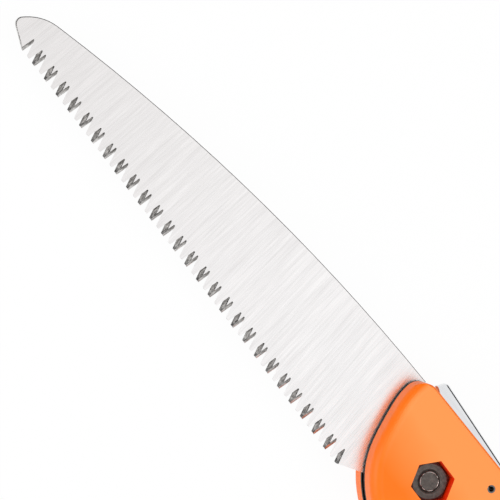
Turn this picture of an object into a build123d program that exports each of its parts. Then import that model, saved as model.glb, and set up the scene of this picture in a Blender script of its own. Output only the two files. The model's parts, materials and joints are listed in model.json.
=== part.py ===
from build123d import *
import os
from math import cos, hypot, radians, sin, sqrt, tan

# Folding pruning saw, opened, lying on its side.
#
# Row frame, in millimetres: +X runs from the blade's tip to the handle's tail, +Y from the
# teeth to the back, and +Z from the bolt's head to its nut. The origin is the middle of the
# underside of the whole saw's box.
#
# Side views are drawn with the pivot at (0, 0), and heights off the blade's middle plane are
# called levels. Both become places in the row frame through the plane called middle.

os.makedirs("parts", exist_ok=True)

# Blade
blade_thickness = 1.5
tooth_count = 55
tooth_pitch = 3.5
tooth_depth = 6.3
tooth_lean = 0.46
tooth_line = 21.55
gullet_radius = 0.3
heel_reach = 25.05
nose_radius = 2.5
brow_radius = 18.0
spine_height = 21.95
spine_bow = 5.45
spine_bevel = 0.25
step_reach = 27.2
step_height = 19.6
rim_radius = 19.3
heel_angle = 226.9
fold_angle = 174.0

# Handle
handle_width = 24.0
belly_depth = 24.3
belly_start = 6.0
belly_middle_share = 0.38
belly_back_share = 0.8
belly_sag = 0.1
belly_rise = 3.0
head_front = ((-27.5, 2.9), (-18.1, -14.0), (-7.9, -21.3))
tail_top_back = 18
tail_low_back = 16
tail_low_round = (3.2, -17.5)
tail_top_round = (4.6, 4.6)
scallop_rise = 0.7
scallop_bow = 3.3
back_slope = 1.7
tail_wall = 14.5
shell_floor = 1.5
outline_corner = 5.7
belly_round = 4.0
back_round = 1.2
liner_thickness = 1.2
strip_front = 49.0
tooth_gap = 1.5
grip_depth = 1.5
grip_margin = 6.0
grip_corner = 7.0
groove_width = 2.0
groove_depth = 0.8
groove_count = 11
core_depth = 5.5
core_count = 5
rib_width = 2.4

# Pivot
bolt_diameter = 8.0
head_diameter = 14.4
head_height = 4.4
head_socket = 5.0
nut_across_flats = 13.0
nut_height = 4.0
nut_mouth = 0.5
nut_room = 0.65
bolt_bevel = 0.65
washer_diameter = 16.0
washer_thickness = 0.5

# Pins, screws and the tail's eyelet
stop_pin_place = (-15.6, 14.5)
stop_pin_diameter = 3.0
stop_pin_length = 12.0
lever_pin_place = (15.73, 15.52)
lever_pin_diameter = 3.0
lever_pin_bore = 1.9
screw_count = 3
screw_diameter = 3.5
screw_head_diameter = 5.6
screw_head_height = 2.6
screw_rise = 3.5
insert_diameter = 5.0
insert_length = 6.0
eyelet_bore = 7.0
eyelet_wall = 1.0
eyelet_drop = 12.5
flange_width = 1.2
flange_height = 0.8

# Lock lever
lever_nose_top = (-21.7, 27.8)
lever_nose_low = (-23.2, 24.3)
lever_slope = 3.35
lever_tail = 46.0
lever_sheet = 1.1
lever_bend = 1.2
lever_ear = 4.0
lock_turn = 5.0
press_turn = 3.0
block_angle = 118.0
block_width = 5.0
block_top = 25.0
rivet_diameter = 2.5
spring_thickness = 0.5

# Clearances
run_gap = 0.05
side_gap = 0.2
stop_gap = 0.3
lock_gap = 0.3
notch_gap = 0.4
bay_gap = 0.6
seat_gap = 0.1

# Levels of the layers, counted from the blade's middle plane
blade_level = blade_thickness / 2
liner_level = blade_level + run_gap + washer_thickness
shell_level = liner_level + liner_thickness
floor_level = shell_level + shell_floor
face_level = handle_width / 2
lever_level = shell_level - side_gap
flank_level = lever_level - lever_sheet


def turned(point, angle, centre=(0, 0)):
    """Turn a side-view point about a centre, by degrees."""
    across = point[0] - centre[0]
    up = point[1] - centre[1]
    cosine = cos(radians(angle))
    sine = sin(radians(angle))
    return (centre[0] + across * cosine - up * sine, centre[1] + across * sine + up * cosine)


def polar(radius, angle):
    """Give the side-view point at a radius and an angle about the pivot."""
    return turned((radius, 0), angle)


# Side view of the lock block. Its foot stands just off the rim and is parallel to it.
block_middle = rim_radius * cos(radians(block_angle))


def block_foot(x):
    """Give the height of the lock block's slanted foot."""
    reach = rim_radius + lock_gap
    return (reach - x * cos(radians(block_angle))) / sin(radians(block_angle))


block_left = block_middle - block_width / 2
block_right = block_middle + block_width / 2
block_corners = [
    (block_left, block_foot(block_left)),
    (block_right, block_foot(block_right)),
    (block_right, block_top),
    (block_left, block_top),
]

# Lock notch: the lowered block with room around it
with BuildSketch() as notch:
    Polygon(*[turned(corner, lock_turn, lever_pin_place) for corner in block_corners], align=None)
    offset(amount=notch_gap, kind=Kind.INTERSECTION)

# Side view of the blade
first_tip = (-heel_reach - (tooth_count - 1) * tooth_pitch, -tooth_line)
last_tip = (-heel_reach, -tooth_line)
nose_corner = (first_tip[0] - 10.85, first_tip[1] + 4.55)
nose_brow = (first_tip[0] - 4.55, first_tip[1] + 13.2)
spine_front = (first_tip[0] + 1.85, first_tip[1] + 15.05)
spine_back = (-step_reach, spine_height)
shoulder = stop_pin_place[0] - stop_pin_diameter / 2 - stop_gap
shoulder_foot = (shoulder, sqrt(rim_radius**2 - shoulder**2))
heel_foot = polar(rim_radius, heel_angle)
pivot_hole_radius = bolt_diameter / 2 + run_gap
sweep_radius = hypot(*nose_corner)

with BuildSketch() as blade_side:
    with BuildLine():
        FilletPolyline(
            first_tip, nose_corner, nose_brow, spine_front, radius=[nose_radius, brow_radius]
        )
        SagittaArc(spine_front, spine_back, spine_bow)
        FilletPolyline(
            spine_back,
            (spine_back[0] + 1.5, step_height),
            (shoulder, step_height),
            shoulder_foot,
            radius=1.0,
        )
        ThreePointArc(shoulder_foot, (rim_radius, 0), heel_foot)
        Polyline(heel_foot, last_tip, first_tip)
    make_face()
    Circle(pivot_hole_radius, mode=Mode.SUBTRACT)
    add(notch.sketch_local, mode=Mode.SUBTRACT)
    add(notch.sketch_local, rotation=-fold_angle, mode=Mode.SUBTRACT)

# Side view of the handle
tail_reach = sweep_radius + tail_wall
head_centre = (-25.3, 16.0)
scallop_front = 20.0
scallop_middle = 40.0
scallop_back = 60.0
scallop_depth = 2.4
back_start = (head_centre[0], head_centre[1] + outline_corner)
scallop_height = back_start[1] + (scallop_front - back_start[0]) * tan(radians(back_slope))
tail_top = (tail_reach - tail_top_back, 10.0)
tail_end = (tail_reach, -6.0)
tail_low = (tail_reach - tail_low_back, -23.6)


def handle_profile(lift=0.0):
    """Draw the handle's side view in the open sketch, with its back raised by lift."""
    front_top = (head_centre[0] - outline_corner, head_centre[1])
    corner_middle = polar(outline_corner, 135)
    corner = (head_centre[0] + corner_middle[0], head_centre[1] + corner_middle[1] + lift)
    crest = (scallop_front, scallop_height + lift)
    dip = (scallop_middle, scallop_height - scallop_depth + lift)
    rise = (scallop_back, scallop_height + scallop_rise + lift)
    lifted_start = (back_start[0], back_start[1] + lift)
    lifted_front = (front_top[0], front_top[1] + lift)
    lifted_tail = (tail_top[0], tail_top[1] + lift)
    lifted_end = (tail_end[0], tail_end[1] + lift)
    with BuildLine() as outline:
        Spline(
            front_top,
            *head_front,
            (belly_start, -belly_depth),
            tangents=[(0.05, -1), (1, -0.06)],
        )
        Spline(
            (belly_start, -belly_depth),
            (belly_middle_share * tail_reach, -belly_depth - belly_sag),
            (belly_back_share * tail_reach, -belly_depth + belly_rise),
            tail_low,
            tangents=[(1, -0.06), (1, -0.1)],
        )
        low_middle = (tail_reach - tail_low_round[0], tail_low_round[1])
        ThreePointArc(tail_low, low_middle, tail_end)
        if lift:
            Line(tail_end, lifted_end)
        top_middle = (tail_reach - tail_top_round[0], tail_top_round[1] + lift)
        ThreePointArc(lifted_end, top_middle, lifted_tail)
        SagittaArc(lifted_tail, rise, -scallop_bow)
        Spline(rise, dip, crest, tangents=[(-1, 0), (-1, 0), (-1, -0.03)])
        Line(crest, lifted_start)
        ThreePointArc(lifted_start, corner, lifted_front)
        if lift:
            Line(lifted_front, front_top)
    make_face(outline.edges())


with BuildSketch() as handle_side:
    handle_profile()


def strip_edge(x):
    """Give the height of the back strip's inner edge, just clear of the folded teeth."""
    foot = turned((0, -tooth_line - tooth_gap), fold_angle)
    return foot[1] + (x - foot[0]) * tan(radians(fold_angle))


# Side view of the lever, in its stored pose with the lock block lifted off the rim
lever_turn_up = tan(radians(lever_slope))


def lever_top(x):
    """Give the height of the lever's top."""
    return lever_nose_top[1] - (x - lever_nose_top[0]) * lever_turn_up


lever_corners = [
    lever_nose_low,
    lever_nose_top,
    (lever_tail, lever_top(lever_tail)),
    (lever_tail, lever_top(lever_tail) - 3.0),
    (24.0, 19.2),
    (13.0, 17.0),
    (-5.0, 19.3),
    (-13.5, 20.2),
]
rivet_place = (block_middle, 22.4)

with BuildSketch() as lever_side:
    with BuildLine():
        FilletPolyline(*lever_corners, close=True, radius=[0, 1.2, 1.0, 0, 3.0, 2.0, 1.0, 1.0])
    make_face()
    with Locations(lever_pin_place):
        Circle(lever_ear)
        Circle(lever_pin_diameter / 2 + run_gap, mode=Mode.SUBTRACT)
    with Locations(rivet_place):
        Circle(rivet_diameter / 2, mode=Mode.SUBTRACT)

# Room inside the folded sheet, under its web and behind its nose
nose_lean = (lever_nose_top[0] - lever_nose_low[0]) / (lever_nose_top[1] - lever_nose_low[1])
hollow_front = lever_nose_top[0] + 1.35 * lever_sheet
hollow_back = lever_tail + 2
with BuildSketch() as lever_hollow:
    Polygon(
        (hollow_front, lever_top(hollow_front) - lever_sheet),
        (hollow_back, lever_top(hollow_back) - lever_sheet),
        (hollow_back, 0),
        (hollow_front - nose_lean * lever_top(hollow_front), 0),
        align=None,
    )

# Bay cut in the liners for the lever's whole travel
with BuildSketch() as lever_bay:
    for turn in (lock_turn, 0, -press_turn):
        Polygon(*[turned(corner, turn, lever_pin_place) for corner in lever_corners], align=None)
    with Locations(lever_pin_place):
        Circle(lever_ear)
    offset(amount=bay_gap, kind=Kind.INTERSECTION)

# Place of the pivot in the row frame, from the whole saw's extents
blade_box = blade_side.sketch.bounding_box()
handle_box = handle_side.sketch.bounding_box()
lever_box = lever_side.sketch.bounding_box()
pivot_x = -(blade_box.min.X + handle_box.max.X) / 2
pivot_y = -(handle_box.min.Y + lever_box.max.Y) / 2
middle = Plane((pivot_x, pivot_y, face_level))

# Places along the handle
tail_inner_radius = sweep_radius + 1.0
eyelet_place = (tail_inner_radius + eyelet_bore / 2 + eyelet_wall + 0.5, -eyelet_drop)
screw_span = tail_reach - 62 - strip_front
screw_places = []
for number in range(screw_count):
    screw_x = strip_front + 13 + number * screw_span / (screw_count - 1)
    screw_places.append((screw_x, strip_edge(screw_x) + screw_rise))
grip_front = strip_front + 3
grip_back = tail_reach - 33
grip_length = grip_back - grip_front

# Blade
gullet_places = [first_tip[0] + number * tooth_pitch for number in range(tooth_count - 1)]
gullet_overrun = 1.2
nose_to_heel = last_tip[0] - first_tip[0]
front_run = tooth_lean / tooth_depth * gullet_overrun
back_run = (tooth_pitch - tooth_lean) / tooth_depth * gullet_overrun
gullet_corners = [
    (-front_run, -gullet_overrun),
    (tooth_lean, tooth_depth),
    (tooth_pitch + back_run, -gullet_overrun),
]

with BuildPart() as blade:
    with BuildSketch(middle):
        add(blade_side.sketch_local)
    extrude(amount=blade_thickness / 2, both=True)
    spine_edges = blade.edges().filter_by(lambda edge: edge.length > nose_to_heel / 2).group_by(Axis.Y)[-1]
    chamfer(spine_edges, spine_bevel)
    # Each gullet is filed at a slant, and the slant swaps sides from one gullet to the next
    for start, slant in ((0, -1), (1, 1)):
        with BuildSketch(middle) as gullets:
            with Locations(*[(place, -tooth_line) for place in gullet_places[start::2]]):
                Polygon(*gullet_corners, align=None)
            roots = gullets.vertices().group_by(Axis.Y)[-1]
            fillet(roots, gullet_radius)
        extrude(amount=blade_thickness, dir=(slant, 0, 1), both=True, mode=Mode.SUBTRACT)
blade.part.label = "blade"
export_step(blade.part, "parts/blade.step")

# Pivot washers, one on each side of the blade
for name, level in (("near_washer", blade_level + run_gap), ("far_washer", -liner_level)):
    with BuildPart() as pivot_washer:
        with BuildSketch(middle.offset(level)):
            Circle(washer_diameter / 2)
            Circle(pivot_hole_radius, mode=Mode.SUBTRACT)
        extrude(amount=washer_thickness)
    pivot_washer.part.label = name
    export_step(pivot_washer.part, f"parts/{name}.step")

# Liner plates, one inside each shell
for name, level in (("near_liner", liner_level), ("far_liner", -shell_level)):
    with BuildPart() as liner:
        with BuildSketch(middle.offset(level)):
            add(handle_side.sketch_local)
            add(lever_bay.sketch_local, mode=Mode.SUBTRACT)
            Circle(pivot_hole_radius, mode=Mode.SUBTRACT)
            with Locations(stop_pin_place):
                Circle(stop_pin_diameter / 2, mode=Mode.SUBTRACT)
            with Locations(*screw_places):
                Circle(screw_diameter / 2 + seat_gap, mode=Mode.SUBTRACT)
            with Locations(eyelet_place):
                Circle(eyelet_bore / 2 + eyelet_wall, mode=Mode.SUBTRACT)
        extrude(amount=liner_thickness)
    liner.part.label = name
    export_step(liner.part, f"parts/{name}.step")

# Back strip, which closes the slot along the back and round the tail
with BuildSketch() as blade_room:
    Circle(tail_inner_radius)
    Polygon(
        (0, strip_edge(0)),
        (2 * tail_reach, strip_edge(2 * tail_reach)),
        (2 * tail_reach, -2 * tail_reach),
        (0, -2 * tail_reach),
        align=None,
        mode=Mode.INTERSECT,
    )

spring_seat = strip_edge(strip_front) + 1.6
spring_reach = 9.0
spring_slot = spring_reach + spring_thickness / 2 + seat_gap

with BuildPart() as back_strip:
    with BuildSketch(middle):
        add(handle_side.sketch_local)
        with Locations((strip_front, 0)):
            Rectangle(
                2 * tail_reach, 4 * tail_reach, align=(Align.MIN, Align.CENTER), mode=Mode.INTERSECT
            )
        add(blade_room.sketch_local, mode=Mode.SUBTRACT)
        with Locations(*screw_places):
            Circle(screw_diameter / 2 + seat_gap, mode=Mode.SUBTRACT)
        with Locations(eyelet_place):
            Circle(eyelet_bore / 2 + eyelet_wall, mode=Mode.SUBTRACT)
        with Locations((strip_front, spring_seat)):
            Rectangle(2 * spring_slot, spring_thickness, mode=Mode.SUBTRACT)
    extrude(amount=liner_level, both=True)
back_strip.part.label = "back_strip"
export_step(back_strip.part, "parts/back_strip.step")

# Blank for both shells, drawn on the nut's side. Its back is rounded a little, and its front
# and belly are rounded more.
with BuildPart() as belly_form:
    with BuildSketch(middle.offset(shell_level)):
        handle_profile(lift=12.0)
    extrude(amount=face_level - shell_level)
    fillet(belly_form.faces().sort_by(Axis.Z)[-1].edges(), belly_round)

core_room = (grip_length - 2 * grip_margin - (core_count - 1) * rib_width) / core_count

with BuildPart() as shell_blank:
    with BuildSketch(middle.offset(shell_level)):
        add(handle_side.sketch_local)
    extrude(amount=face_level - shell_level)
    fillet(shell_blank.faces().sort_by(Axis.Z)[-1].edges(), back_round)
    add(belly_form.part, mode=Mode.INTERSECT)
    with BuildSketch(middle.offset(floor_level)):
        Circle(pivot_hole_radius)
    extrude(amount=-shell_floor, mode=Mode.SUBTRACT)
    with BuildSketch(middle.offset(shell_level)):
        with Locations(stop_pin_place):
            Circle(stop_pin_diameter / 2)
    extrude(amount=stop_pin_length / 2 - shell_level, mode=Mode.SUBTRACT)
    with BuildSketch(middle.offset(shell_level)):
        with Locations(lever_pin_place):
            Circle(lever_pin_diameter / 2)
        with Locations(eyelet_place):
            Circle(eyelet_bore / 2 + eyelet_wall)
    extrude(amount=face_level - shell_level, mode=Mode.SUBTRACT)
    with BuildSketch(middle.offset(face_level)):
        with Locations(eyelet_place):
            Circle(eyelet_bore / 2 + eyelet_wall + flange_width)
    extrude(amount=-flange_height, mode=Mode.SUBTRACT)
    # Cores that keep the moulded walls even
    with BuildSketch(middle.offset(shell_level)):
        for number in range(core_count):
            core_x = grip_front + grip_margin + core_room / 2 + number * (core_room + rib_width)
            core_high = strip_edge(core_x + core_room / 2) - 3
            core_low = -belly_depth + 9
            with Locations((core_x, (core_high + core_low) / 2)):
                Rectangle(core_room, core_high - core_low)
    extrude(amount=core_depth, mode=Mode.SUBTRACT)

# Side view of the grips
with BuildSketch() as grip_side:
    with BuildLine():
        FilletPolyline(
            (grip_front, strip_edge(grip_front) - 0.6),
            (grip_back, strip_edge(grip_back) - 0.6),
            (grip_back, -belly_depth + grip_margin + 2.6),
            (belly_middle_share * tail_reach, -belly_depth + grip_margin),
            (grip_front, -belly_depth + grip_margin),
            close=True,
            radius=[grip_corner, grip_corner, grip_corner, 60, grip_corner],
        )
    make_face()

# Shell on the nut's side, with a six-sided recess that stops the nut from turning
recess_flats = nut_across_flats + 2 * nut_room
with BuildPart() as near_shell:
    add(shell_blank.part)
    with BuildSketch(middle.offset(floor_level)):
        RegularPolygon(recess_flats / 2, 6, major_radius=False)
    extrude(amount=face_level - floor_level, mode=Mode.SUBTRACT)
    with BuildSketch(middle.offset(face_level)):
        add(grip_side.sketch_local)
    extrude(amount=-grip_depth, mode=Mode.SUBTRACT)
    with BuildSketch(middle.offset(shell_level)):
        with Locations(*screw_places):
            Circle(insert_diameter / 2)
    extrude(amount=insert_length, mode=Mode.SUBTRACT)
near_shell.part.label = "near_shell"
export_step(near_shell.part, "parts/near_shell.step")

# Shell on the bolt head's side
far_floor = -floor_level
head_recess = head_diameter / 2 + nut_room
screw_floor = -face_level + screw_head_height + 0.6
with BuildPart() as far_shell:
    mirror(shell_blank.part, about=middle)
    with BuildSketch(middle.offset(-face_level)):
        Circle(head_recess)
    extrude(amount=face_level - floor_level, mode=Mode.SUBTRACT)
    with BuildSketch(middle.offset(-face_level)):
        add(grip_side.sketch_local)
    extrude(amount=grip_depth, mode=Mode.SUBTRACT)
    with BuildSketch(middle.offset(-face_level)):
        with Locations(*screw_places):
            Circle(screw_head_diameter / 2 + seat_gap)
    extrude(amount=screw_floor + face_level, mode=Mode.SUBTRACT)
    with BuildSketch(middle.offset(screw_floor)):
        with Locations(*screw_places):
            Circle(screw_diameter / 2 + seat_gap)
    extrude(amount=-shell_level - screw_floor, mode=Mode.SUBTRACT)
far_shell.part.label = "far_shell"
export_step(far_shell.part, "parts/far_shell.step")

# Rubber grips, let into the shells' faces and grooved across
groove_step = (grip_length - 2 * grip_corner) / (groove_count - 1)
for name, side in (("near_grip", 1), ("far_grip", -1)):
    with BuildPart() as grip:
        with BuildSketch(middle.offset(side * face_level)):
            add(grip_side.sketch_local)
            offset(amount=-seat_gap, kind=Kind.INTERSECTION)
        extrude(amount=-side * grip_depth)
        with BuildSketch(middle.offset(side * face_level)):
            for number in range(groove_count):
                groove_x = grip_front + grip_corner + number * groove_step
                groove_top = strip_edge(groove_x) - 4
                groove_low = -belly_depth + grip_margin + 4
                with Locations((groove_x, (groove_top + groove_low) / 2)):
                    SlotOverall(groove_top - groove_low, groove_width, rotation=90 + 8)
        extrude(amount=-side * groove_depth, mode=Mode.SUBTRACT)
    grip.part.label = name
    export_step(grip.part, f"parts/{name}.step")

# Pivot bolt, with a low round head and a hexagon socket
bolt_end = floor_level + nut_height - 0.1
with BuildPart() as pivot_bolt:
    with BuildSketch(middle.offset(far_floor)):
        Circle(bolt_diameter / 2)
    extrude(amount=bolt_end - far_floor)
    chamfer(pivot_bolt.faces().sort_by(Axis.Z)[-1].edges(), bolt_bevel)
    with BuildSketch(middle.offset(far_floor)):
        Circle(head_diameter / 2)
    extrude(amount=-head_height)
    fillet(pivot_bolt.faces().sort_by(Axis.Z)[0].edges(), 2.0)
    with BuildSketch(middle.offset(far_floor - head_height)):
        RegularPolygon(head_socket / 2, 6, major_radius=False)
    extrude(amount=head_height - 1.4, mode=Mode.SUBTRACT)
pivot_bolt.part.label = "pivot_bolt"
export_step(pivot_bolt.part, "parts/pivot_bolt.step")

# Pivot nut, with its outer corners turned away
nut_corner = nut_across_flats / sqrt(3)
nut_crown = nut_across_flats / 2 - 0.15
nut_edge = nut_height - (nut_corner - nut_crown) * tan(radians(30))
with BuildPart() as pivot_nut:
    with BuildSketch(middle.offset(floor_level)):
        RegularPolygon(nut_across_flats / 2, 6, major_radius=False)
        Circle(bolt_diameter / 2, mode=Mode.SUBTRACT)
    extrude(amount=nut_height)
    with BuildSketch(Plane(middle.offset(floor_level).origin, x_dir=(1, 0, 0), z_dir=(0, -1, 0))):
        Polygon(
            (0, 0),
            (nut_corner, 0),
            (nut_corner, nut_edge),
            (nut_crown, nut_height),
            (bolt_diameter / 2 + nut_mouth, nut_height),
            (bolt_diameter / 2, nut_height - nut_mouth),
            (0, nut_height - nut_mouth),
            align=None,
        )
    revolve(axis=Axis(middle.origin, (0, 0, 1)), mode=Mode.INTERSECT)
pivot_nut.part.label = "pivot_nut"
export_step(pivot_nut.part, "parts/pivot_nut.step")

# Stop pin for the open blade
with BuildPart() as stop_pin:
    with BuildSketch(middle):
        with Locations(stop_pin_place):
            Circle(stop_pin_diameter / 2)
    extrude(amount=stop_pin_length / 2, both=True)
stop_pin.part.label = "stop_pin"
export_step(stop_pin.part, "parts/stop_pin.step")

# Slotted spring pin that the lever turns on
pin_slot = 0.6
with BuildPart() as lever_pin:
    with BuildSketch(middle):
        with Locations(lever_pin_place):
            Circle(lever_pin_diameter / 2)
            Circle(lever_pin_bore / 2, mode=Mode.SUBTRACT)
            Rectangle(lever_pin_diameter, pin_slot, align=(Align.MAX, Align.CENTER), mode=Mode.SUBTRACT)
    extrude(amount=face_level, both=True)
lever_pin.part.label = "lever_pin"
export_step(lever_pin.part, "parts/lever_pin.step")

# Handle screws and the brass inserts that they turn into
screw_end = shell_level + insert_length - 1
for number, place in enumerate(screw_places, start=1):
    with BuildPart() as screw:
        with BuildSketch(middle.offset(screw_floor)):
            with Locations(place):
                Circle(screw_diameter / 2)
        extrude(amount=screw_end - screw_floor)
        with BuildSketch(middle.offset(screw_floor)):
            with Locations(place):
                Circle(screw_head_diameter / 2)
        extrude(amount=-screw_head_height)
        fillet(screw.faces().sort_by(Axis.Z)[0].edges(), 0.8)
        with BuildSketch(middle.offset(screw_floor - screw_head_height)):
            with Locations(place):
                Rectangle(3.0, 0.8)
                Rectangle(0.8, 3.0)
        extrude(amount=1.5, mode=Mode.SUBTRACT)
    screw.part.label = f"handle_screw_{number}"
    export_step(screw.part, f"parts/handle_screw_{number}.step")

    with BuildPart() as insert:
        with BuildSketch(middle.offset(shell_level)):
            with Locations(place):
                Circle(insert_diameter / 2)
                Circle(screw_diameter / 2, mode=Mode.SUBTRACT)
        extrude(amount=insert_length)
    insert.part.label = f"screw_insert_{number}"
    export_step(insert.part, f"parts/screw_insert_{number}.step")

# Eyelet through the tail, for hanging the saw up
with BuildPart() as tail_eyelet:
    with BuildSketch(middle):
        with Locations(eyelet_place):
            Circle(eyelet_bore / 2 + eyelet_wall)
    extrude(amount=face_level, both=True)
    for side in (1, -1):
        with BuildSketch(middle.offset(side * face_level)):
            with Locations(eyelet_place):
                Circle(eyelet_bore / 2 + eyelet_wall + flange_width)
        extrude(amount=-side * flange_height)
    with BuildSketch(middle):
        with Locations(eyelet_place):
            Circle(eyelet_bore / 2)
    extrude(amount=face_level, both=True, mode=Mode.SUBTRACT)
tail_eyelet.part.label = "tail_eyelet"
export_step(tail_eyelet.part, "parts/tail_eyelet.step")

# Lock lever, a folded sheet with a closed nose
fold_line = lever_top(lever_tail) - 1.3
with BuildPart() as lock_lever:
    with BuildSketch(middle):
        add(lever_side.sketch_local)
    extrude(amount=lever_level, both=True)
    outer_edges = lock_lever.faces().filter_by(Axis.Z).edges()
    folded_edges = outer_edges.filter_by(lambda edge: edge.center().Y > pivot_y + fold_line)
    fillet(folded_edges, lever_bend)
    with BuildSketch(middle):
        add(lever_hollow.sketch_local)
    extrude(amount=flank_level, both=True, mode=Mode.SUBTRACT)
lock_lever.part.label = "lock_lever"
export_step(lock_lever.part, "parts/lock_lever.step")

# Lock block, held between the lever's flanks by its rivet
with BuildPart() as lock_block:
    with BuildSketch(middle):
        Polygon(*block_corners, align=None)
        with Locations(rivet_place):
            Circle(rivet_diameter / 2, mode=Mode.SUBTRACT)
    extrude(amount=flank_level, both=True)
lock_block.part.label = "lock_block"
export_step(lock_block.part, "parts/lock_block.step")

with BuildPart() as block_rivet:
    with BuildSketch(middle):
        with Locations(rivet_place):
            Circle(rivet_diameter / 2)
    extrude(amount=lever_level, both=True)
block_rivet.part.label = "block_rivet"
export_step(block_rivet.part, "parts/block_rivet.step")

# Leaf spring, held in the back strip's slot, with its free end under the lever's web
spring_tip = 31.0
spring_bend = strip_front - 1.5
tip_height = lever_top(spring_tip) - lever_sheet - 0.3 - spring_thickness / 2
with BuildPart() as lever_spring:
    with BuildSketch(middle):
        with BuildLine():
            FilletPolyline(
                (strip_front + spring_reach, spring_seat),
                (spring_bend, spring_seat),
                (spring_tip, tip_height),
                (spring_tip - 2.5, tip_height - 1.2),
                radius=[5.0, 2.0],
            )
        trace(line_width=spring_thickness)
    extrude(amount=flank_level - side_gap, both=True)
lever_spring.part.label = "lever_spring"
export_step(lever_spring.part, "parts/lever_spring.step")

print("pivot", round(pivot_x, 3), round(pivot_y, 3), "tail", round(tail_reach, 2))
print("eyelet", [round(v, 3) for v in eyelet_place], "screws", screw_places)
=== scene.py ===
import json
import math

import bmesh
import bpy
from mathutils import Matrix, Vector


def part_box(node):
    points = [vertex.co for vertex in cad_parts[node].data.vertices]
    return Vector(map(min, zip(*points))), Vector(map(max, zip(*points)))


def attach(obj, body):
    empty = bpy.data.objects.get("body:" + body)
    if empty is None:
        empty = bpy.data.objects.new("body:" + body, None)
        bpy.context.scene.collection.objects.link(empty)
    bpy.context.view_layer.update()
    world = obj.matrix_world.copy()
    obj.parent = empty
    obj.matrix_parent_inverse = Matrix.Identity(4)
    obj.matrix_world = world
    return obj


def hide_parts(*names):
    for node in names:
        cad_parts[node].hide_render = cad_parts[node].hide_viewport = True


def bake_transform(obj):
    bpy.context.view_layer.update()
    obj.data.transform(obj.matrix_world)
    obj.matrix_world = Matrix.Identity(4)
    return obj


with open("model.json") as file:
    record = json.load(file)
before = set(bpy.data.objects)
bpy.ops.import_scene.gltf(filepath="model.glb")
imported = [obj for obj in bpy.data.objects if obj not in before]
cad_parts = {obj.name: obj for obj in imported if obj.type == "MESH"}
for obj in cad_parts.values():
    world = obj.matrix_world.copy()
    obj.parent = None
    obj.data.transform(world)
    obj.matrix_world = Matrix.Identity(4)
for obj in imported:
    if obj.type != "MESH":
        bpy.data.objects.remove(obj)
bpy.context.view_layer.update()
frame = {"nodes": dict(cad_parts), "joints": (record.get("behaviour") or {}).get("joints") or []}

# Everything is in metres, in the row frame. MM turns millimetres into metres.
MM = 0.001
nodes = frame["nodes"]
joint_place = {joint["name"]: Vector(joint["pos_m"]) for joint in frame["joints"]}
pivot = joint_place["blade_fold"]

# The view of the photograph: its direction back to the camera, and its side to the right
VIEW_BACK = (-0.2419, -0.1643, 0.9563)
VIEW_RIGHT = (0.5853, 0.7614, 0.2788)
FLOOR_GLOW = 0.95
FLOOR_DROP = 0.3 * MM


# ---------------------------------------------------------------- node helpers

class Shader:
    """A node material with short calls for the nodes that this scene uses."""

    def __init__(self, name, colour, roughness, metallic=0.0, specular=0.5):
        self.material = bpy.data.materials.new(name)
        self.material.use_nodes = True
        self.tree = self.material.node_tree
        self.surface = self.tree.nodes["Principled BSDF"]
        self.surface.inputs["Base Color"].default_value = (*colour, 1)
        self.surface.inputs["Roughness"].default_value = roughness
        self.surface.inputs["Metallic"].default_value = metallic
        self.surface.inputs["Specular IOR Level"].default_value = specular
        self.material.diffuse_color = (*colour, 1)

    def link(self, output, target):
        self.tree.links.new(output, target)

    def node(self, kind, **settings):
        made = self.tree.nodes.new(kind)
        for key, value in settings.items():
            setattr(made, key, value)
        return made

    def position(self):
        return self.node("ShaderNodeTexCoord").outputs["Object"]

    def separate(self, vector):
        made = self.node("ShaderNodeSeparateXYZ")
        self.link(vector, made.inputs[0])
        return made.outputs

    def math(self, operation, first, second=None):
        made = self.node("ShaderNodeMath", operation=operation)
        for socket, value in zip(made.inputs, (first, second)):
            if value is None:
                continue
            if isinstance(value, (int, float)):
                socket.default_value = value
            else:
                self.link(value, socket)
        return made.outputs[0]

    def noise(self, vector, scale, detail=4.0, roughness=0.6):
        made = self.node("ShaderNodeTexNoise")
        self.link(vector, made.inputs["Vector"])
        made.inputs["Scale"].default_value = scale
        made.inputs["Detail"].default_value = detail
        made.inputs["Roughness"].default_value = roughness
        return made.outputs["Fac"]

    def noise_line(self, value, scale, detail=3.0):
        made = self.node("ShaderNodeTexNoise", noise_dimensions="1D")
        self.link(value, made.inputs["W"])
        made.inputs["Scale"].default_value = scale
        made.inputs["Detail"].default_value = detail
        return made.outputs["Fac"]

    def spread(self, value, low, high, out_low=0.0, out_high=1.0):
        made = self.node("ShaderNodeMapRange")
        self.link(value, made.inputs["Value"])
        numbers = {"From Min": low, "From Max": high, "To Min": out_low, "To Max": out_high}
        for name, number in numbers.items():
            made.inputs[name].default_value = number
        return made.outputs["Result"]

    def blend(self, factor, first, second):
        made = self.node("ShaderNodeMix", data_type="RGBA")
        sockets = [s for s in made.inputs if s.type == "RGBA"]
        self.link(factor, made.inputs[0])
        for socket, value in zip(sockets, (first, second)):
            if isinstance(value, tuple):
                socket.default_value = (*value, 1)
            else:
                self.link(value, socket)
        return [s for s in made.outputs if s.type == "RGBA"][0]

    def scaled(self, vector, across, along, up):
        made = self.node("ShaderNodeVectorMath", operation="MULTIPLY")
        self.link(vector, made.inputs[0])
        made.inputs[1].default_value = (across, along, up)
        return made.outputs[0]

    def bump(self, height, strength, distance, under=None):
        made = self.node("ShaderNodeBump")
        made.inputs["Strength"].default_value = strength
        made.inputs["Distance"].default_value = distance
        self.link(height, made.inputs["Height"])
        if under is not None:
            self.link(under, made.inputs["Normal"])
        return made.outputs["Normal"]

    def set(self, **sockets):
        names = {"colour": "Base Color", "roughness": "Roughness", "normal": "Normal"}
        for key, output in sockets.items():
            self.link(output, self.surface.inputs[names[key]])


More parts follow.
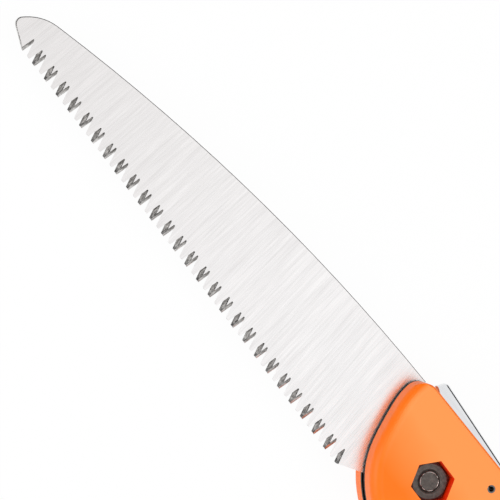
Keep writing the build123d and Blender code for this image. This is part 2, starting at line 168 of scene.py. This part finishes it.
def srgb(red, green, blue):
    """Turn an 8-bit display colour into linear values."""
    values = []
    for channel in (red, green, blue):
        share = channel / 255
        values.append(share / 12.92 if share <= 0.04045 else ((share + 0.055) / 1.055) ** 2.4)
    return tuple(values)


def dress(material, *names):
    """Give CAD nodes a material."""
    for name in names:
        mesh = nodes[name].data
        mesh.materials.clear()
        mesh.materials.append(material)


# ---------------------------------------------------------------- materials

def ground_steel():
    """Blade steel: ground across its length, with bright flats, file marks, and painted shade on the sides
    of the teeth, in the gullets and towards the tip.
    """
    steel = Shader("ground_steel", srgb(228, 226, 226), 0.34, metallic=1.0)
    place = steel.position()
    x, y = steel.separate(place)[:2]
    low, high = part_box("blade")
    # The grinding lines cross the blade squarely at the tip and lean over towards the handle
    along = steel.spread(x, low.x, pivot.x - 30 * MM)
    lean = steel.math("MULTIPLY", steel.math("POWER", along, 1.6), math.tan(math.radians(11)))
    line = steel.math("ADD", x, steel.math("MULTIPLY", lean, y))
    # Each line is short, so the noise also changes slowly across the blade
    stretched = steel.node("ShaderNodeCombineXYZ")
    steel.link(line, stretched.inputs[0])
    steel.link(steel.math("MULTIPLY", y, 0.035), stretched.inputs[1])
    fine = steel.noise(stretched.outputs[0], 1500, 3)
    coarse = steel.noise(stretched.outputs[0], 420, 4)
    cloud = steel.noise(place, 28, 3)
    streak = steel.math("ADD", steel.math("MULTIPLY", fine, 0.6), steel.math("MULTIPLY", coarse, 0.4))
    tone = steel.spread(streak, 0.36, 0.64)
    face = steel.blend(tone, srgb(234, 232, 232), srgb(255, 253, 253))
    # Painted shade: the blade turns greyer towards its tip
    tip_painted_shade = steel.spread(x, low.x, low.x + 150 * MM, 1.0, 0.0)
    face = steel.blend(steel.math("MULTIPLY", tip_painted_shade, 0.4), face, srgb(212, 208, 206))
    # File marks and painted shade: faces that turn away from the blade's sides are darker than the ground
    # faces
    normal = steel.node("ShaderNodeNewGeometry").outputs["True Normal"]
    tilt = steel.math("ABSOLUTE", steel.separate(normal)[2])
    flank = steel.spread(tilt, 0.86, 0.97, 1.0, 0.0)
    file_mark = steel.noise(steel.scaled(place, 1500, 500, 1500), 1, 3)
    filing_and_painted_shade = steel.blend(steel.spread(file_mark, 0.35, 0.62), srgb(128, 126, 124), srgb(226, 224, 222))
    # Painted shade darkens the bottoms of the gullets
    gullet_painted_shade = steel.spread(y, low.y + 4.6 * MM, low.y + 7.0 * MM)
    filing_and_painted_shade = steel.blend(gullet_painted_shade, filing_and_painted_shade, srgb(70, 68, 66))
    steel.set(colour=steel.blend(flank, face, filing_and_painted_shade))
    smear = steel.spread(streak, 0.3, 0.7, 0.20, 0.32)
    rough = steel.math("ADD", smear, steel.math("MULTIPLY", cloud, 0.04))
    steel.set(roughness=rough)
    steel.set(normal=steel.bump(streak, 0.3, 0.00001))
    steel.surface.inputs["Anisotropic"].default_value = 0.45
    return steel.material


def moulded_plastic(name, colour, painted_sheen, painted_recess_shade):
    """Moulded plastic with a fine grain, a painted sheen on its flat faces towards the spine and painted
    shade on the walls of the nut's recess.
    """
    plastic = Shader(name, colour, 0.38, specular=0.25)
    place = plastic.position()
    x, y = plastic.separate(place)[:2]
    # Painted sheen: the flat faces grow lighter towards the spine, along a wavering edge
    drift = plastic.noise(place, 22, 3)
    wander = plastic.math("MULTIPLY", plastic.math("SUBTRACT", drift, 0.5), 12 * MM)
    level = plastic.math("ADD", y, wander)
    share = plastic.spread(level, pivot.y - 12 * MM, pivot.y + 8 * MM)
    normal = plastic.node("ShaderNodeNewGeometry").outputs["True Normal"]
    facing = plastic.math("ABSOLUTE", plastic.separate(normal)[2])
    flat = plastic.spread(facing, 0.75, 0.98)
    tone = plastic.blend(plastic.math("MULTIPLY", share, flat), colour, painted_sheen)
    # Painted shade: the walls of the nut's recess are redder
    reach_x = plastic.math("POWER", plastic.math("SUBTRACT", x, pivot.x), 2)
    reach_y = plastic.math("POWER", plastic.math("SUBTRACT", y, pivot.y), 2)
    reach = plastic.math("SQRT", plastic.math("ADD", reach_x, reach_y))
    near = plastic.spread(reach, 9.5 * MM, 11 * MM, 1.0, 0.0)
    wall = plastic.spread(facing, 0.3, 0.6, 1.0, 0.0)
    plastic.set(colour=plastic.blend(plastic.math("MULTIPLY", near, wall), tone, painted_recess_shade))
    grain = plastic.noise(place, 2600, 2)
    plastic.set(roughness=plastic.spread(grain, 0.3, 0.7, 0.33, 0.45))
    plastic.set(normal=plastic.bump(grain, 0.12, 0.00003))
    return plastic.material


def rubber():
    """Soft grip rubber with a matt grain."""
    soft = Shader("grip_rubber", srgb(38, 38, 40), 0.7, specular=0.35)
    place = soft.position()
    grain = soft.noise(place, 1700, 3)
    dust = soft.noise(place, 45, 4)
    soft.set(colour=soft.blend(soft.spread(dust, 0.35, 0.7), srgb(33, 33, 35), srgb(52, 51, 51)))
    soft.set(roughness=soft.spread(grain, 0.3, 0.7, 0.6, 0.82))
    soft.set(normal=soft.bump(grain, 0.35, 0.00006))
    return soft.material


def black_oxide():
    """Blackened bolt steel with a random lighter mottle."""
    steel = Shader("black_oxide", srgb(92, 86, 82), 0.42, metallic=0.75)
    place = steel.position()
    mottle = steel.noise(place, 900, 4)
    steel.set(colour=steel.blend(steel.spread(mottle, 0.3, 0.7), srgb(70, 65, 62), srgb(112, 106, 101)))
    steel.set(roughness=steel.spread(mottle, 0.3, 0.7, 0.34, 0.55))
    steel.set(normal=steel.bump(mottle, 0.2, 0.00004))
    return steel.material


def liner_black():
    """Black coated liner plates."""
    coat = Shader("liner_black", srgb(24, 23, 23), 0.5, specular=0.15)
    place = coat.position()
    scuff = coat.noise(place, 300, 5)
    coat.set(colour=coat.blend(coat.spread(scuff, 0.45, 0.75), srgb(15, 14, 14), srgb(32, 31, 30)))
    coat.set(roughness=coat.spread(scuff, 0.3, 0.7, 0.38, 0.58))
    return coat.material


def plated(name, colour, roughness, drawn=600):
    """Plated or plain steel with fine drawing marks."""
    metal = Shader(name, colour, roughness, metallic=1.0)
    place = metal.position()
    mark = metal.noise(metal.scaled(place, 0.12, 1, 1), drawn, 3)
    dull = tuple(0.9 * channel for channel in colour)
    metal.set(colour=metal.blend(metal.spread(mark, 0.3, 0.7), dull, colour))
    metal.set(roughness=metal.spread(mark, 0.3, 0.7, 0.75 * roughness, 1.3 * roughness))
    metal.set(normal=metal.bump(mark, 0.06, 0.00002))
    return metal.material


def smooth_plastic(name, colour):
    """Turned plastic washer with a faint random tint."""
    plastic = Shader(name, colour, 0.3)
    place = plastic.position()
    tint = plastic.noise(place, 500, 2)
    plastic.set(colour=plastic.blend(tint, tuple(0.94 * channel for channel in colour), colour))
    return plastic.material


orange = moulded_plastic("orange_abs", srgb(252, 114, 6), srgb(250, 147, 74), srgb(255, 52, 2))
dress(ground_steel(), "blade")
dress(orange, "near_shell", "far_shell")
dress(rubber(), "near_grip", "far_grip")
dress(black_oxide(), "pivot_bolt", "pivot_nut")
dress(liner_black(), "near_liner", "far_liner", "back_strip")
dress(plated("bright_chrome", srgb(232, 233, 235), 0.12), "lock_lever", "tail_eyelet")
dress(plated("pin_steel", srgb(200, 198, 196), 0.28), "stop_pin", "block_rivet", "lock_block")
dress(plated("dark_pin_steel", srgb(120, 116, 113), 0.35), "lever_pin")
dress(plated("zinc_plate", srgb(196, 198, 200), 0.3), "handle_screw_1", "handle_screw_2", "handle_screw_3")
dress(plated("spring_steel", srgb(96, 98, 108), 0.3), "lever_spring")
dress(plated("brass", srgb(214, 178, 96), 0.3), "screw_insert_1", "screw_insert_2", "screw_insert_3")
dress(smooth_plastic("washer_acetal", srgb(226, 222, 212)), "near_washer", "far_washer")


# ---------------------------------------------------------------- details on the CAD pieces

def painted_glint_arcs(centre, radius, thick, arcs):
    """Painted highlight: bright steel arcs where the bolt's end meets its bevel, in place of glints."""
    mesh = bmesh.new()
    sides = 8
    for start, sweep in arcs:
        steps = max(3, round(sweep / 4))
        rings = []
        for step in range(steps + 1):
            angle = math.radians(start + sweep * step / steps)
            outward = Vector((math.cos(angle), math.sin(angle), 0))
            width = thick * (0.35 + 0.65 * math.sin(math.pi * step / steps))
            ring = []
            for side in range(sides):
                turn = math.tau * side / sides
                offset = outward * math.cos(turn) * width + Vector((0, 0, math.sin(turn) * width))
                ring.append(mesh.verts.new(centre + outward * radius + offset))
            rings.append(ring)
        for first, second in zip(rings, rings[1:]):
            for side in range(sides):
                after = (side + 1) % sides
                mesh.faces.new((first[side], second[side], second[after], first[after]))
        mesh.faces.new(list(reversed(rings[-1])))
        mesh.faces.new(rings[0])
    bmesh.ops.recalc_face_normals(mesh, faces=mesh.faces)
    data = bpy.data.meshes.new("bolt_painted_glint")
    mesh.to_mesh(data)
    mesh.free()
    for face in data.polygons:
        face.use_smooth = True
    edge = bpy.data.objects.new("bolt_painted_glint", data)
    bpy.context.scene.collection.objects.link(edge)
    data.materials.append(plated("painted_glint_steel", srgb(236, 230, 224), 0.3))
    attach(edge, "handle")


def flexing_spring(slices):
    """The leaf spring, copied and cut into slices across its length, in place of the CAD spring."""
    source = nodes["lever_spring"]
    data = source.data.copy()
    data.name = "flexing_spring"
    low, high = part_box("lever_spring")
    mesh = bmesh.new()
    mesh.from_mesh(data)
    for cut in range(1, slices):
        place = Vector((low.x + (high.x - low.x) * cut / slices, 0, 0))
        everything = mesh.verts[:] + mesh.edges[:] + mesh.faces[:]
        bmesh.ops.bisect_plane(mesh, geom=everything, plane_co=place, plane_no=(1, 0, 0))
    mesh.to_mesh(data)
    mesh.free()
    spring = bpy.data.objects.new("flexing_spring", data)
    bpy.context.scene.collection.objects.link(spring)
    spring.matrix_world = source.matrix_world
    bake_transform(spring)
    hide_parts("lever_spring")


flexing_spring(16)
bolt_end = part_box("pivot_bolt")[1].z
# Painted highlight: bright arcs on the bolt's end where glints fall
glint_arcs = ((8, 52), (70, 18), (96, 64), (170, 22), (200, 58), (268, 30), (306, 44))
painted_glint_arcs(Vector((pivot.x, pivot.y, bolt_end - 0.07 * MM)), 3.38 * MM, 0.13 * MM, glint_arcs)


# ---------------------------------------------------------------- stage, light and camera

def stage_floor():
    """A white floor that keeps a faint shadow."""
    size = 30.0
    mesh = bpy.data.meshes.new("floor")
    corners = [(-size, -size, 0), (size, -size, 0), (size, size, 0), (-size, size, 0)]
    mesh.from_pydata(corners, [], [(0, 1, 2, 3)])
    floor = bpy.data.objects.new("floor", mesh)
    floor.location.z = -FLOOR_DROP
    bpy.context.scene.collection.objects.link(floor)
    paper = Shader("floor_white", (0.86, 0.86, 0.86), 0.9, specular=0.1)
    tree = paper.tree
    glow = paper.node("ShaderNodeEmission")
    glow.inputs["Strength"].default_value = 1.0
    path = paper.node("ShaderNodeLightPath")
    shown = paper.math("MAXIMUM", path.outputs["Is Camera Ray"], path.outputs["Is Glossy Ray"])
    shown = paper.math("MAXIMUM", shown, path.outputs["Is Transmission Ray"])
    seen = paper.math("MULTIPLY", shown, FLOOR_GLOW)
    mix = paper.node("ShaderNodeMixShader")
    paper.link(seen, mix.inputs[0])
    paper.link(paper.surface.outputs[0], mix.inputs[1])
    paper.link(glow.outputs[0], mix.inputs[2])
    paper.link(mix.outputs[0], tree.nodes["Material Output"].inputs["Surface"])
    mesh.materials.append(paper.material)


def sky():
    """A white surround for the camera, dimmer and darker low down for the light on the object."""
    world = bpy.data.worlds.new("studio")
    world.use_nodes = True
    tree = world.node_tree
    ground = tree.nodes["Background"]
    ground.inputs["Strength"].default_value = 1.0
    direction = tree.nodes.new("ShaderNodeTexCoord").outputs["Generated"]
    parts = tree.nodes.new("ShaderNodeSeparateXYZ")
    tree.links.new(direction, parts.inputs[0])
    ramp = tree.nodes.new("ShaderNodeMapRange")
    tree.links.new(parts.outputs[2], ramp.inputs["Value"])
    for name, number in (("From Min", 0.0), ("From Max", 0.75), ("To Min", 0.22), ("To Max", 0.75)):
        ramp.inputs[name].default_value = number
    path = tree.nodes.new("ShaderNodeLightPath")
    level = ramp.outputs[0]
    for ray in ("Is Camera Ray", "Is Glossy Ray", "Is Transmission Ray"):
        largest = tree.nodes.new("ShaderNodeMath")
        largest.operation = "MAXIMUM"
        tree.links.new(level, largest.inputs[0])
        tree.links.new(path.outputs[ray], largest.inputs[1])
        level = largest.outputs[0]
    tree.links.new(level, ground.inputs["Color"])
    bpy.context.scene.world = world


def soft_box(name, towards, distance, size, power, target, mirrored=True):
    """A square lamp that faces the target. One that isn't mirrored leaves no glare on metal."""
    lamp = bpy.data.lights.new(name, "AREA")
    lamp.shape = "SQUARE"
    lamp.size = size
    lamp.energy = power
    holder = bpy.data.objects.new(name, lamp)
    direction = Vector(towards).normalized()
    holder.location = target + direction * distance
    holder.rotation_mode = "QUATERNION"
    holder.rotation_quaternion = direction.to_track_quat("Z", "Y")
    holder.visible_glossy = mirrored
    bpy.context.scene.collection.objects.link(holder)


def dark_card(name, towards, distance, width, height):
    """A black card that metal mirrors and the camera doesn't see."""
    direction = Vector(towards).normalized()
    across = Vector((-direction.y, direction.x, 0)).normalized() * width / 2
    foot = Vector((direction.x, direction.y, 0)) * distance
    rise = Vector((0, 0, height))
    mesh = bpy.data.meshes.new(name)
    corners = [foot - across, foot + across, foot + across + rise, foot - across + rise]
    mesh.from_pydata(corners, [], [(0, 1, 2, 3)])
    card = bpy.data.objects.new(name, mesh)
    card.visible_camera = False
    card.visible_diffuse = False
    card.visible_shadow = False
    bpy.context.scene.collection.objects.link(card)
    mesh.materials.append(Shader("black_card", (0.02, 0.02, 0.02), 0.9, specular=0.0).material)


def photo_camera():
    """The long-lens camera, 17 degrees off the view straight down on the saw's side."""
    back = Vector(VIEW_BACK).normalized()
    right = Vector(VIEW_RIGHT).normalized()
    up = back.cross(right).normalized()
    right = up.cross(back)
    aim = pivot - right * 61.70 * MM + up * 81.76 * MM
    distance = 3.0
    view_width = 178.57 * MM
    lens = bpy.data.cameras.new("camera")
    lens.sensor_width = 36
    lens.lens = lens.sensor_width * distance / view_width
    lens.clip_start = 0.1
    lens.clip_end = 100
    camera = bpy.data.objects.new("camera", lens)
    camera.matrix_world = Matrix((right, up, back)).transposed().to_4x4()
    camera.location = aim + back * distance
    bpy.context.scene.collection.objects.link(camera)
    bpy.context.scene.camera = camera


stage_floor()
sky()
soft_box("key", (0.2419, 0.1643, 0.9563), 1.5, 2.0, 13.0, Vector((0, 0, 0)), mirrored=False)
soft_box("front_fill", (-0.62, -0.68, 0.38), 1.2, 0.7, 5.5, Vector((0, 0, 0)))
dark_card("back_card", (0.35, 0.9, 0.0), 0.5, 1.6, 0.5)
dark_card("tail_card", (0.95, -0.25, 0.0), 0.6, 1.0, 0.34)
dark_card("front_card", (-0.95, -0.31, 0.0), 0.75, 1.5, 0.42)
photo_camera()
scene = bpy.context.scene
scene.view_settings.view_transform = "Standard"
